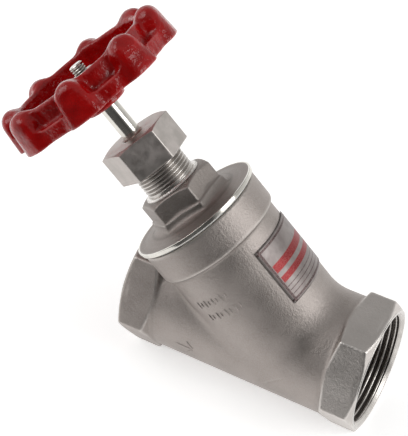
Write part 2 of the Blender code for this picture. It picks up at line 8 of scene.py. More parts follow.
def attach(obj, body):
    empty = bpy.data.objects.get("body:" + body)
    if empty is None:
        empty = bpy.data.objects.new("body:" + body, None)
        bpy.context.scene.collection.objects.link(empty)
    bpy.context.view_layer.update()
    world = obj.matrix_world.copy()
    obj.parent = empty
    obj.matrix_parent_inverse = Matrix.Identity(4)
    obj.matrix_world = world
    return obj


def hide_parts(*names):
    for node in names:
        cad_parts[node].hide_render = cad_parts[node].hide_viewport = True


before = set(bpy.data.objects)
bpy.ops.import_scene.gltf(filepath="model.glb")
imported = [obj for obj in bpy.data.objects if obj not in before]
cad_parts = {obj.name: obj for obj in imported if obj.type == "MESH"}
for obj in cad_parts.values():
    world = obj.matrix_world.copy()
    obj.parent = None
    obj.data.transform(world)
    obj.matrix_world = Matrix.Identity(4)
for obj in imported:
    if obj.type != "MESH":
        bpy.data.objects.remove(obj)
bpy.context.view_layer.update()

MM = 0.001
ROOT2 = math.sqrt(2.0)
LEAN = np.array([[1.0, 0.0, -1.0], [0.0, ROOT2, 0.0], [1.0, 0.0, 1.0]]) / ROOT2
TINY = 1e-9
SIXTH = math.pi / 3.0
HALF_SIXTH = math.pi / 6.0

# Pipe run and its ends, in millimetres.
INLET_END, OUTLET_END = 34.5, -70.1
ENDS = ((INLET_END, -1.0), (OUTLET_END, 1.0))
RUN_RADIUS, RUN_BORE = 25.0, 19.5
END_FLAT, END_LAND, END_LENGTH = 25.5, 24.99, 14.5
END_SLOPE = math.radians(25.0)
THREAD_MINOR, THREAD_MAJOR, THREAD_PITCH, THREAD_DEPTH = 22.42, 23.9, 2.309, 15.6
LINER_RADIUS, LINER_DEPTH, LINER_OVERLAP = 24.1, 14.0, 0.1

# Neck, collar and seat.
NECK_RADIUS, NECK_BORE = 24.9, 21.0
COLLAR_RADIUS, COLLAR_BASE, COLLAR_TOP = 26.45, 54.2, 67.0
COLLAR_BORE, COLLAR_BORE_BASE = 22.3, 54.9
SEAT_TOP, SEAT_BORE, SEAT_WALL = 10.0, 17.0, 4.0

# Bonnet.
FLANGE_RADIUS, FLANGE_BASE, FLANGE_TOP = 27.55, 68.0, 69.7
BONNET_SCREW_RADIUS, BONNET_SCREW_BASE = 22.0, 55.2
BONNET_BOSS, BONNET_BASE = 11.0, 47.0
BONNET_FLAT, BONNET_HEX_BASE, BONNET_HEX_TOP, BONNET_TURN = 14.4, 74.0, 82.7, math.radians(0.95)
SHOULDER_RADIUS, SHOULDER_TOP = 12.2, 83.6
GLAND_RADIUS, GLAND_TOP, GLAND_PITCH = 10.75, 99.0, 1.5
GLAND_BORE, GLAND_BEVEL, GLAND_THREAD = 7.9, 0.9, 0.85
STEM_BORE, SCREW_BORE, BACKSEAT = 4.2, 6.3, 72.3

# Packing nut, stem and wheel nut.
NUT_FLAT, NUT_BASE, NUT_TOP, NUT_TURN = 13.65, 93.2, 106.9, math.radians(14.4)
NUT_BORE, NUT_BORE_TOP, NUT_EYE = 11.05, 101.6, 4.5
STEM_RADIUS, STEM_SQUARE = 3.9, 2.8
STEM_HEAD_RADIUS, STEM_HEAD_BASE, STEM_HEAD_HEIGHT = 8.2, 19.0, 4.0
STEM_SCREW_RADIUS, STEM_SCREW_BASE, STEM_SCREW_TOP, STEM_SCREW_PITCH = 6.0, 37.0, 60.0, 3.0
STEM_STUD, STEM_TOP, STUD_PITCH = 2.9, 141.4, 1.0
HUB_RADIUS, HUB_BASE, HUB_TOP = 8.6, 122.0, 131.6
WHEEL_TURN = math.radians(-9.0)
WHEEL_NUT_FLAT, WHEEL_NUT_HEIGHT, WASHER_RADIUS, WASHER_THICKNESS = 5.0, 4.4, 6.2, 0.8

# Handwheel rim, as heights above its base.
RIM_BASE, RIM_RADIUS, RIM_VALLEY, RIM_INNER = 127.6, 38.1, 34.5, 28.0
RIM_LIP, RIM_WALL, RIM_WALL_THICKNESS, RIM_LOBE = 5.8, 13.2, 2.4, 15.6
LOBES, LOBE_HALF = 8, 7.6
SPOKES, SPOKE_BASE, SPOKE_TOP, SPOKE_HALF = 4, 127.9, 131.4, 5.5

# Name plate.
PLATE_RADIUS, PLATE_BASE, PLATE_TOP = 25.2, 21.7, 47.0
PLATE_START, PLATE_END = math.radians(-25.0), math.radians(45.0)
PLATE_THICKNESS, PLATE_ROUNDING = 0.4, 0.6

# Shapes that scene.py makes keep these gaps and softenings.
GAP = 0.3
HEX_INSET = 0.24
HEX_EDGE = 0.5
LAND_SHARE = 0.98
SAME_RADIUS = 0.01

# Meshes: cell sizes of the castings, and steps of a thread's profile in one pitch.
BODY_CELL, BONNET_CELL, WHEEL_CELL = 0.64, 0.55, 0.6
THREAD_STEPS = 10.0
GRID_POINTS_AT_ONCE = 400_000

# Noise values lie mostly between these two.
NOISE_LOW, NOISE_HIGH = 0.35, 0.65

# The direction of the dark part of the room.
DARK_SIDE = (0.36, -0.93, 0.03)


# ---- fields and surface nets

def soft_min(a, b, blend):
    """The lower of two fields, which joins their shapes with a fillet as wide as the blend."""
    share = np.clip(0.5 + 0.5 * (b - a) / blend, 0.0, 1.0)
    return b * (1.0 - share) + a * share - blend * share * (1.0 - share)


def soft_max(a, b, blend):
    """The higher of two fields, which keeps what both shapes hold, with a softened edge."""
    return -soft_min(-a, -b, blend)


def slab(value, low, high):
    """Distance to the stretch between two values."""
    return np.abs(value - (low + high) / 2.0) - (high - low) / 2.0


def hexagon(u, v, flat, turn, blend):
    """Distance to a hexagon whose first flat faces along the turned u axis, with softened corners."""
    field = None
    for number in range(3):
        angle = turn + number * SIXTH
        side = np.abs(u * math.cos(angle) + v * math.sin(angle)) - flat
        field = side if field is None else soft_max(field, side, blend)
    return field


def sample(field, axes):
    """The field on a grid, one slab of it at a time."""
    xs, ys, zs = axes
    grid_y, grid_z = np.meshgrid(ys, zs, indexing="ij")
    values = np.empty((len(xs), len(ys), len(zs)), np.float32)
    slab_size = max(1, GRID_POINTS_AT_ONCE // grid_y.size)
    for start in range(0, len(xs), slab_size):
        part = xs[start:start + slab_size]
        shape = (len(part), *grid_y.shape)
        x = np.broadcast_to(part[:, None, None], shape).ravel()
        y = np.broadcast_to(grid_y, shape).ravel()
        z = np.broadcast_to(grid_z, shape).ravel()
        values[start:start + slab_size] = field(x, y, z).reshape(shape)
    return values


CORNERS = [(i, j, k) for i in (0, 1) for j in (0, 1) for k in (0, 1)]
CELL_EDGES = [
    (a, b) for a in CORNERS for b in CORNERS
    if sum(b) - sum(a) == 1 and all(q >= p for p, q in zip(a, b))
]


def cell_corner(values, corner):
    """The value at one corner of every cell of a grid."""
    spans = tuple(slice(o, n - 1 + o) for o, n in zip(corner, values.shape))
    return values[spans]


def net_vertices(values, active):
    """One vertex for each active cell, at the mean of where the surface crosses its edges."""
    where = np.argwhere(active)
    total = np.zeros((len(where), 3))
    count = np.zeros(len(where))
    corner_values = {c: cell_corner(values, c)[active] for c in CORNERS}
    for a, b in CELL_EDGES:
        va, vb = corner_values[a], corner_values[b]
        crossing = (va < 0.0) != (vb < 0.0)
        share = np.where(crossing, va / np.where(crossing, va - vb, 1.0), 0.0)
        point = np.array(a) + share[:, None] * (np.array(b) - np.array(a))
        total[crossing] += point[crossing]
        count += crossing
    return where + total / count[:, None]


def net_faces(values, index):
    """A quad round each grid edge that the surface crosses."""
    faces = []
    inside = values < 0.0
    for axis in range(3):
        one, two = (axis + 1) % 3, (axis + 2) % 3
        low = [slice(None)] * 3
        high = [slice(None)] * 3
        low[axis], high[axis] = slice(None, -1), slice(1, None)
        crossing = inside[tuple(low)] != inside[tuple(high)]
        cells = np.argwhere(crossing)
        cells = cells[(cells[:, one] > 0) & (cells[:, two] > 0)]
        limits = np.array(index.shape)
        cells = cells[(cells[:, one] < limits[one]) & (cells[:, two] < limits[two])]
        step_one, step_two = np.eye(3, dtype=int)[one], np.eye(3, dtype=int)[two]
        quad = [cells, cells - step_one, cells - step_one - step_two, cells - step_two]
        quad = np.stack([index[tuple(q.T)] for q in quad], axis=1)
        starts_inside = inside[tuple(cells.T)]
        quad[~starts_inside] = quad[~starts_inside][:, ::-1]
        faces.append(quad)
    return np.concatenate(faces)


def slope_of(field, points):
    """The field's gradient at each point, from small steps to both sides."""
    step = 0.02
    x, y, z = points.T
    return np.stack([
        field(x + step, y, z) - field(x - step, y, z),
        field(x, y + step, z) - field(x, y - step, z),
        field(x, y, z + step) - field(x, y, z - step),
    ], axis=1) / (2.0 * step)


def surface_net(field, low, high, cell):
    """A quad mesh of the field's zero surface, in millimetres, pulled onto the surface itself."""
    passes, least_slope, longest_move = 4, 0.05, 0.4 * cell
    axes = [np.arange(a - cell, b + 2.0 * cell, cell) for a, b in zip(low, high)]
    values = sample(field, axes)
    inside_count = sum((cell_corner(values, c) < 0.0).astype(np.int8) for c in CORNERS)
    active = (inside_count > 0) & (inside_count < len(CORNERS))
    index = np.full(active.shape, -1, np.int64)
    index[active] = np.arange(active.sum())
    points = np.array([a[0] for a in axes]) + cell * net_vertices(values, active)
    faces = net_faces(values, index)
    for _ in range(passes):
        gradient = slope_of(field, points)
        size = np.maximum((gradient ** 2).sum(axis=1), least_slope)
        move = gradient * (field(*points.T) / size)[:, None]
        length = np.linalg.norm(move, axis=1, keepdims=True)
        points -= move * np.minimum(1.0, longest_move / np.maximum(length, TINY))
    return points, faces


# ---- meshes

def lean(points):
    """Upright millimetres to leaning millimetres."""
    return points @ LEAN.T


def along_run(points, end, inward):
    """Upright millimetres, with heights measured inward from a run end, to the run."""
    x, y, z = points.T
    return np.stack([end + inward * z, y * -inward, x], axis=1)


def add_object(name, data):
    thing = bpy.data.objects.new(name, data)
    bpy.context.scene.collection.objects.link(thing)
    return thing


def new_piece(name, points, faces, material, body, slot, nodes=(), marks=None):
    """A mesh piece from millimetre points, with its material, riding on a body."""
    mesh = bpy.data.meshes.new(name)
    mesh.from_pydata((points * MM).tolist(), [], faces if isinstance(faces, list) else faces.tolist())
    mesh.update()
    if signed_volume(mesh) < 0.0:
        mesh.flip_normals()
    mesh.validate()
    mesh.shade_smooth()
    for label, values in (marks or {}).items():
        layer = mesh.attributes.new(label, "FLOAT", "POINT")
        layer.data.foreach_set("value", np.asarray(values, np.float32))
    mesh.materials.append(material)
    piece = add_object(name, mesh)
    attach(piece, body)
    if nodes:
        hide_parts(*nodes)


def signed_volume(mesh):
    """Six times the enclosed volume, which is negative on an inside-out mesh."""
    mesh.calc_loop_triangles()
    corners = np.empty(len(mesh.loop_triangles) * 3, np.int32)
    mesh.loop_triangles.foreach_get("vertices", corners)
    flat = np.empty(len(mesh.vertices) * 3, np.float32)
    mesh.vertices.foreach_get("co", flat)
    a, b, c = flat.reshape(-1, 3)[corners.reshape(-1, 3)].transpose(1, 0, 2).astype(np.float64)
    return float(np.einsum("ij,ij->i", a, np.cross(b, c)).sum())


def ring_faces(rows, columns, close_rows):
    """Quads of a grid whose columns close on themselves, and whose rows may."""
    row = np.arange(rows if close_rows else rows - 1)
    i, j = np.meshgrid(row, np.arange(columns), indexing="ij")
    i, j = i.ravel(), j.ravel()
    up, over = (i + 1) % rows, (j + 1) % columns
    return np.stack([i * columns + j, i * columns + over, up * columns + over, up * columns + j], axis=1)


def soften(profile, radius, steps=3, closed=True):
    """Round each corner of a (radius, height) profile with a short arc."""
    points = [np.array(p, float) for p in profile]
    count = len(points)
    most = 0.4
    out = []
    for i, here in enumerate(points):
        if not closed and i in (0, count - 1):
            out.append(here)
            continue
        before, after = points[i - 1] - here, points[(i + 1) % count] - here
        reach = min(radius, most * np.linalg.norm(before), most * np.linalg.norm(after))
        start = here + before / np.linalg.norm(before) * reach
        stop = here + after / np.linalg.norm(after) * reach
        for k in range(steps + 1):
            s = k / steps
            out.append((1 - s) ** 2 * start + 2 * s * (1 - s) * here + s * s * stop)
    return np.array(out)


def subdivide(profile, length, closed=True):
    """Split long stretches of a profile, so that no step is longer than a length."""
    out = []
    count = len(profile)
    for i in range(count if closed else count - 1):
        a, b = profile[i], profile[(i + 1) % count]
        pieces = max(1, int(np.ceil(np.linalg.norm(b - a) / length)))
        out += [a + (b - a) * k / pieces for k in range(pieces)]
    if not closed:
        out.append(profile[-1])
    return np.array(out)


def thread_wave(turns):
    """The thread's height, 0 in the root and 1 on a narrow flat crest, once in each turn."""
    steepness, root_width = 1.35, 0.12
    saw = 1.0 - np.abs(2.0 * (turns - np.floor(turns)) - 1.0)
    wave = np.clip(saw * steepness - root_width, 0.0, 1.0)
    return wave * wave * (3.0 - 2.0 * wave)


def spin(profile, columns, shape=None):
    """Turn a closed profile. shape(angle, radius, height) may change the radius and the height."""
    angles = np.arange(columns) * math.tau / columns
    radius = np.repeat(profile[:, :1], columns, axis=1)
    height = np.repeat(profile[:, 1:], columns, axis=1)
    if shape:
        radius, height = shape(np.broadcast_to(angles, radius.shape), radius, height)
    points = np.stack([radius * np.cos(angles), radius * np.sin(angles), height], axis=2)
    lay = np.r_[0.0, np.cumsum(np.linalg.norm(np.diff(profile, axis=0), axis=1))]
    lay = np.repeat(lay[:, None], columns, axis=1)
    return points.reshape(-1, 3), ring_faces(len(profile), columns, True), lay.ravel()


def spin_solid(profile, columns, shape):
    """Turn an open profile that starts and ends on the axis."""
    inner = profile[1:-1]
    points, _, lay = spin(inner, columns, shape)
    faces = ring_faces(len(inner), columns, False).tolist()
    first, last = len(points), len(points) + 1
    points = np.vstack([points, [0.0, 0.0, profile[0][1]], [0.0, 0.0, profile[-1][1]]])
    base = (len(inner) - 1) * columns
    for j in range(columns):
        over = (j + 1) % columns
        faces.append([over, j, first])
        faces.append([base + j, base + over, last])
    return points, faces, np.r_[lay, 0.0, 0.0]


def polar(points):
    """Each point's distance from the upright axis, and its height."""
    return np.hypot(points[:, 0], points[:, 1]), points[:, 2]


# ---- materials

Socket = bpy.types.NodeSocket


class Finish:
    """A Principled material and short calls for building its nodes."""

    def __init__(self, name, **sockets):
        self.material = bpy.data.materials.new(name)
        self.material.use_nodes = True
        self.tree = self.material.node_tree
        self.shader = self.tree.nodes["Principled BSDF"]
        self.place = self.add("ShaderNodeTexCoord").outputs["Object"]
        for label, value in sockets.items():
            self.shader.inputs[label.replace("_", " ")].default_value = value

    def add(self, kind, inputs=(), **settings):
        node = self.tree.nodes.new(kind)
        for label, value in settings.items():
            setattr(node, label, value)
        for key, value in dict(inputs).items():
            self.feed(node.inputs[key], value)
        return node

    def feed(self, socket, value):
        if isinstance(value, Socket):
            self.tree.links.new(value, socket)
        else:
            socket.default_value = value

    def noise(self, size, detail=4.0, roughness=0.55):
        """Noise whose features are about this many millimetres across."""
        scale = 1.0 / (size * MM)
        inputs = {"Vector": self.place, "Scale": scale, "Detail": detail, "Roughness": roughness}
        return self.add("ShaderNodeTexNoise", inputs).outputs["Fac"]

    def attribute(self, name):
        return self.add("ShaderNodeAttribute", attribute_name=name).outputs["Fac"]

    def math(self, operation, a, b=0.0):
        return self.add("ShaderNodeMath", {0: a, 1: b}, operation=operation).outputs[0]

    def remap(self, value, low, high, to_low=0.0, to_high=1.0):
        inputs = {0: value, 1: low, 2: high, 3: to_low, 4: to_high}
        return self.add("ShaderNodeMapRange", inputs).outputs[0]

    def blotches(self, noise, a, b):
        """One colour giving way to another as the noise rises."""
        return self.mix(self.remap(noise, NOISE_LOW, NOISE_HIGH), a, b)

    def mix(self, share, a, b):
        node = self.add("ShaderNodeMix", data_type="RGBA")
        self.feed(node.inputs["Factor"], share)
        self.feed(node.inputs["A"], a if isinstance(a, Socket) else (*a, 1.0))
        self.feed(node.inputs["B"], b if isinstance(b, Socket) else (*b, 1.0))
        return node.outputs["Result"]

    def bumps(self, *layers):
        """Stack bump layers of (height socket, depth in millimetres)."""
        normal = None
        for height, depth in layers:
            inputs = {"Height": height, "Strength": 1.0, "Distance": depth * MM}
            if normal:
                inputs["Normal"] = normal
            normal = self.add("ShaderNodeBump", inputs).outputs["Normal"]
        self.feed(self.shader.inputs["Normal"], normal)

    def use(self, **sockets):
        for label, value in sockets.items():
            self.feed(self.shader.inputs[label.replace("_", " ")], value)
        return self.material


def cast_steel():
    """Bead-blasted stainless casting: fine grain, faint blotches, edges rubbed brighter with a painted
    highlight, and painted shade in hollows.
    """
    f = Finish("cast_steel", Metallic=1.0)
    dull, clean, glint = (0.32, 0.283, 0.262), (0.395, 0.352, 0.33), (0.50, 0.47, 0.45)
    rubbed_and_highlight, hollow_shade, bright = (0.60, 0.57, 0.54), (0.17, 0.155, 0.14), (0.74, 0.71, 0.68)
    smoothest, roughest, edge_polish, machined_polish = 0.46, 0.58, 0.10, 0.28
    pit_depth, grain_depth, grain_share, grain_high, glint_share = 0.17, 0.10, 0.5, 0.7, 0.4
    blotch = f.noise(11.0, detail=5.0)
    grain = f.noise(0.5, detail=3.0, roughness=0.6)
    pits = f.noise(1.3, roughness=0.62)
    machined, edge = f.attribute("machined"), f.attribute("edge")
    colour = f.blotches(blotch, dull, clean)
    colour = f.mix(f.remap(grain, NOISE_LOW, grain_high, 0.0, glint_share), colour, glint)
    # Edges: partly real rubbing, partly a painted highlight, lighter where the surface bends outward.
    colour = f.mix(edge, colour, rubbed_and_highlight)
    # Painted shade: the hollow mark darkens the colour in creases and hollows, and over the whole bonnet.
    colour = f.mix(f.attribute("hollow"), colour, hollow_shade)
    # The machined mark is real machining on the bonnet's shoulder top, and painted light on the body's inlet
    # end.
    colour = f.mix(machined, colour, bright)
    uneven = f.math("ADD", blotch, f.math("MULTIPLY", grain, grain_share))
    rough = f.remap(uneven, 0.5, 1.0, smoothest, roughest)
    rough = f.math("SUBTRACT", rough, f.math("MULTIPLY", edge, edge_polish))
    rough = f.math("SUBTRACT", rough, f.math("MULTIPLY", machined, machined_polish))
    f.bumps((pits, pit_depth), (grain, grain_depth))
    return f.use(Base_Color=colour, Roughness=rough)


def turned_steel(name, light, dark, rough, groove_depth):
    """Machined steel with tool marks along the profile that was turned, and painted shade in its thread
    roots.
    """
    f = Finish(name, Metallic=1.0)
    painted_shade, root_roughness = (0.17, 0.15, 0.135), 0.25
    groove_size, ripple_size, ripple_depth = 0.22, 0.4, 0.008
    smoothest, roughest = rough * 0.75, rough * 1.35
    position = f.add("ShaderNodeCombineXYZ", {"X": f.attribute("lay")}).outputs[0]
    groove = {"Vector": position, "Scale": 1.0 / groove_size, "Detail": 3.0}
    grooves = f.add("ShaderNodeTexNoise", groove).outputs["Fac"]
    smudge = f.noise(5.0)
    root = f.attribute("hollow")
    # Painted shade: the hollow mark darkens the colour in the thread roots.
    colour = f.mix(root, f.blotches(smudge, dark, light), painted_shade)
    uneven = f.math("ADD", grooves, smudge)
    roughness = f.remap(uneven, 2.0 * NOISE_LOW, 2.0 * NOISE_HIGH, smoothest, roughest)
    roughness = f.math("ADD", roughness, f.math("MULTIPLY", root, root_roughness))
    f.bumps((grooves, groove_depth), (f.noise(ripple_size), ripple_depth))
    return f.use(Base_Color=colour, Roughness=roughness)


def red_paint():
    """Thick glossy dipped paint: orange peel, runs, darker with painted shade where it pools, thin on the
    edges with a painted highlight.
    """
    f = Finish("red_paint", Metallic=0.0, Coat_Weight=0.2, Coat_Roughness=0.05, IOR=1.38)
    deep, fresh, pooled_and_shaded, thin_and_highlight = (0.27, 0.0, 0.0), (0.37, 0.002, 0.002), (0.13, 0.0, 0.0), (0.56, 0.10, 0.10)
    ripple_depth, peel_depth, fine_depth = 0.8, 0.24, 0.02
    peel = f.noise(1.4, detail=2.0, roughness=0.5)
    ripple = f.noise(5.0, detail=2.0, roughness=0.4)
    fine = f.noise(0.7, detail=2.0, roughness=0.5)
    # Hollows: paint that pools, darkened further as painted shade.
    colour = f.mix(f.attribute("hollow"), f.blotches(ripple, deep, fresh), pooled_and_shaded)
    # Edges: thinner paint, lightened as a painted highlight.
    colour = f.mix(f.attribute("edge"), colour, thin_and_highlight)
    f.bumps((ripple, ripple_depth), (peel, peel_depth), (fine, fine_depth))
    return f.use(Base_Color=colour, Roughness=f.remap(fine, 0.3, 0.7, 0.08, 0.20))


def white_polymer():
    """The white packing, gasket and soft seal."""
    f = Finish("white_polymer", Metallic=0.0, Subsurface_Weight=0.08)
    shaded, pale, grain_depth = (0.78, 0.77, 0.73), (0.88, 0.87, 0.84), 0.03
    grain = f.noise(0.8)
    f.bumps((grain, grain_depth))
    return f.use(Base_Color=f.blotches(grain, shaded, pale), Roughness=f.remap(grain, 0.3, 0.7, 0.4, 0.55))


def band(f, value, centre, half):
    """1 within half of the centre, 0 outside, with a narrow soft border."""
    border = 0.006
    away = f.math("ABSOLUTE", f.math("SUBTRACT", value, centre))
    return f.remap(away, half, half + border, 1.0, 0.0)


def bands(f, value, centres, half):
    """1 on any of several equal bands."""
    every = band(f, value, centres[0], half)
    for centre in centres[1:]:
        every = f.math("MAXIMUM", every, band(f, value, centre, half))
    return every


def printed_foil():
    """Metal foil printed with a thin frame, two red bands and blank ruled lines."""
    f = Finish("printed_foil", Metallic=0.55)
    shaded, pale = (0.20, 0.172, 0.165), (0.26, 0.232, 0.222)
    red_ink, worn_red = (0.21, 0.008, 0.012), (0.28, 0.06, 0.055)
    black_ink, worn_black = (0.05, 0.03, 0.03), (0.22, 0.16, 0.15)
    wear_start, red_worn, black_worn = 0.45, 0.62, 0.66
    wrinkle_depth, scratch_depth = 0.12, 0.01
    across, along = f.attribute("across"), f.attribute("along")
    wrinkle = f.noise(4.0, detail=3.0)
    scratches = f.noise(0.5, detail=5.0, roughness=0.7)
    red = f.mix(f.remap(scratches, wear_start, red_worn), red_ink, worn_red)
    ink = f.mix(f.remap(scratches, wear_start, black_worn), black_ink, worn_black)
    sides = bands(f, across, (0.045, 0.955), 0.012)
    ends = bands(f, along, (0.05, 0.95), 0.014)
    within = band(f, across, 0.5, 0.43)
    rules = f.math("MULTIPLY", bands(f, along, (0.13, 0.20, 0.27), 0.004), within)
    red_bands = f.math("MAXIMUM", band(f, along, 0.60, 0.065), band(f, along, 0.40, 0.05))
    colour = f.mix(f.math("MULTIPLY", red_bands, within), f.blotches(wrinkle, shaded, pale), red)
    outline = f.math("MAXIMUM", sides, ends)
    colour = f.mix(f.math("MAXIMUM", outline, rules), colour, ink)
    f.bumps((wrinkle, wrinkle_depth), (scratches, scratch_depth))
    return f.use(Base_Color=colour, Roughness=f.remap(scratches, 0.3, 0.7, 0.32, 0.5))


CAST = cast_steel()
MACHINED = turned_steel("machined_steel", (0.64, 0.61, 0.58), (0.50, 0.475, 0.45), 0.24, 0.02)
POLISHED = turned_steel("polished_steel", (0.70, 0.68, 0.63), (0.58, 0.56, 0.52), 0.14, 0.004)
NUT_STEEL = turned_steel("nut_steel", (0.55, 0.51, 0.485), (0.43, 0.40, 0.375), 0.42, 0.02)
RED = red_paint()
POLYMER = white_polymer()
FOIL = printed_foil()


# ---- body

def lean_coordinates(x, z):
    """Height along the bonnet axis and offset from it in the plane of the two axes."""
    return (z - x) / ROOT2, (x + z) / ROOT2


def end_hexagon(x, y, z, radius, end, inward):
    """The hexagon at one end of the run, with its corners turned off towards both faces."""
    mouth_setback, mouth_edge, slope_edge, corner_edge = 0.2, 0.1, 0.3, 0.55
    depth = (x - end) * inward
    field = hexagon(z, y, END_FLAT - HEX_INSET, 0.0, HEX_EDGE)
    sine, cosine = math.sin(END_SLOPE), math.cos(END_SLOPE)
    front = (radius - END_LAND) * sine - depth * cosine
    back = (radius - END_LAND) * sine + (depth - END_LENGTH) * cosine
    field = soft_max(field, soft_max(front, back, slope_edge), corner_edge)
    return soft_max(field, mouth_setback - depth, mouth_edge)


def body_outside(x, y, z):
    run_inset, neck_inset = 3.0, 1.0
    collar_edge, collar_fillet, hexagon_fillet = 0.9, 1.6, 1.4
    flank_fillet, crotch_fillet, heel_fillet, fillet_span = 0.9, 3.6, 1.8, 0.3
    height, offset = lean_coordinates(x, z)
    run_radius = np.hypot(y, z)
    neck_radius = np.hypot(offset, y)
    run = np.maximum(run_radius - RUN_RADIUS, slab(x, OUTLET_END + run_inset, INLET_END - run_inset))
    neck = np.maximum(neck_radius - NECK_RADIUS, slab(height, 0.0, COLLAR_TOP - neck_inset))
    collar = soft_max(neck_radius - COLLAR_RADIUS, slab(height, COLLAR_BASE, COLLAR_TOP), collar_edge)
    neck = soft_min(neck, collar, collar_fillet)
    # The fillet widens where the two tubes stop facing the same way.
    facing = (y * y + z * offset / ROOT2) / np.maximum(run_radius * neck_radius, TINY)
    widest = np.where(offset > 0.0, crotch_fillet, heel_fillet)
    fillet = flank_fillet + widest * np.clip((1.0 - facing) / fillet_span, 0.0, 1.0)
    field = soft_min(run, neck, fillet)
    for end, inward in ENDS:
        field = soft_min(field, end_hexagon(x, y, z, run_radius, end, inward), hexagon_fillet)
    return field


def body_inside(x, y, z):
    bridge_step, bridge_edge, seat_clearance = 0.6, 1.0, 1.0
    height, offset = lean_coordinates(x, z)
    run_radius = np.hypot(y, z)
    neck_radius = np.hypot(offset, y)
    spaces = [
        soft_max(run_radius - RUN_BORE, SEAT_TOP + bridge_step - height, bridge_edge),
        soft_max(run_radius - RUN_BORE, height - SEAT_TOP + SEAT_WALL, bridge_edge),
        np.maximum(neck_radius - SEAT_BORE, slab(height, -SEAT_TOP, SEAT_TOP + seat_clearance)),
        np.maximum(neck_radius - NECK_BORE, SEAT_TOP - height),
        np.maximum(neck_radius - COLLAR_BORE, COLLAR_BORE_BASE - height),
    ]
    for end, inward in ENDS:
        depth = (x - end) * inward
        spaces.append(np.maximum(run_radius - LINER_RADIUS + LINER_OVERLAP, depth - LINER_DEPTH))
        cone = (depth + run_radius - THREAD_DEPTH - THREAD_MINOR) / ROOT2
        spaces.append(np.maximum(run_radius - THREAD_MINOR, cone))
    field = spaces[0]
    for space in spaces[1:]:
        field = np.minimum(field, space)
    return field


def body_field(x, y, z):
    mouth_edge = 0.35
    return soft_max(body_outside(x, y, z), -body_inside(x, y, z), mouth_edge)


def wear_and_light_marks(field, points, strength, reach):
    """How sharply the surface bends: outward on edges, which are worn and get a painted highlight, inward in
    hollows, which get painted shade.
    """
    edge_start, hollow_start = 0.15, 0.1
    x, y, z = points.T
    total = -6.0 * field(x, y, z)
    for dx, dy, dz in ((reach, 0, 0), (0, reach, 0), (0, 0, reach)):
        total = total + field(x + dx, y + dy, z + dz) + field(x - dx, y - dy, z - dz)
    bend = total / reach ** 2 * strength
    edge, hollow = np.clip(bend - edge_start, 0.0, 1.0), np.clip(-bend - hollow_start, 0.0, 1.0)
    return {"edge": edge, "hollow": hollow}


def make_body():
    side, drop, inlet_painted_light = 30.0, 26.5, 0.42
    low = (OUTLET_END, -side, -drop)
    high = (INLET_END, side, (COLLAR_TOP + COLLAR_RADIUS) / ROOT2)
    points, faces = surface_net(body_field, low, high, BODY_CELL)
    marks = wear_and_light_marks(body_field, points, 0.7, 0.8)
    # Painted light: the whole inlet end gets part of the bright machined colour, so its hexagon renders
    # lighter than the outlet's.
    marks["machined"] = inlet_painted_light * np.clip(points[:, 0] - INLET_END + END_LENGTH, 0.0, 1.0)
    new_piece("cast_body", points, faces, CAST, "body", "cast_steel", ["valve_body"], marks=marks)
    for name, end, inward in (("inlet_thread", INLET_END, -1.0), ("outlet_thread", OUTLET_END, 1.0)):
        thread_liner(name, end, inward)


def thread_liner(name, end, inward):
    """The machined mouth ring, bevel and female pipe thread of one end, as one turned shell."""
    rim, rim_edge, rim_depth = END_LAND + 0.1, 0.15, 1.2
    run_in, run_out, flat_root = 0.8, 0.2, 0.15
    shade_start, shade_stop, shade_span = 1.0, 0.1, 0.5
    columns = 192
    profile = [
        (rim, rim_edge), (END_LAND, 0.0), (THREAD_MAJOR, 0.0), (THREAD_MINOR, THREAD_MAJOR - THREAD_MINOR),
        (THREAD_MINOR, LINER_DEPTH), (LINER_RADIUS, LINER_DEPTH), (LINER_RADIUS, rim_depth), (rim, rim_depth),
    ]
    profile = subdivide(soften(profile, 0.12, 2), THREAD_PITCH / THREAD_STEPS)
    hand = -inward

    def cut_thread(angle, radius, height):
        on_wall = np.abs(radius - THREAD_MINOR) < SAME_RADIUS
        fade = np.clip((height - rim_depth) / run_in, 0.0, 1.0)
        fade = fade * np.clip(LINER_DEPTH - run_out - height, 0.0, 1.0)
        root = 1.0 - thread_wave(height / THREAD_PITCH + hand * angle / math.tau)
        return radius + on_wall * fade * root * (THREAD_MAJOR - THREAD_MINOR - flat_root), height

    points, faces, lay = spin(profile, columns, cut_thread)
    radius, height = polar(points)
    # Painted shade in the roots of the thread, given to the hollow mark.
    inside = (height > shade_start) & (height < LINER_DEPTH - shade_stop) & (radius < THREAD_MAJOR)
    hollow = inside * np.clip((radius - THREAD_MINOR - flat_root) / shade_span, 0.0, 1.0)
    points = along_run(points, end, inward)
    new_piece(name, points, faces, MACHINED, "body", "bright_steel", marks={"lay": lay, "hollow": hollow})


# ---- bonnet and packing nut

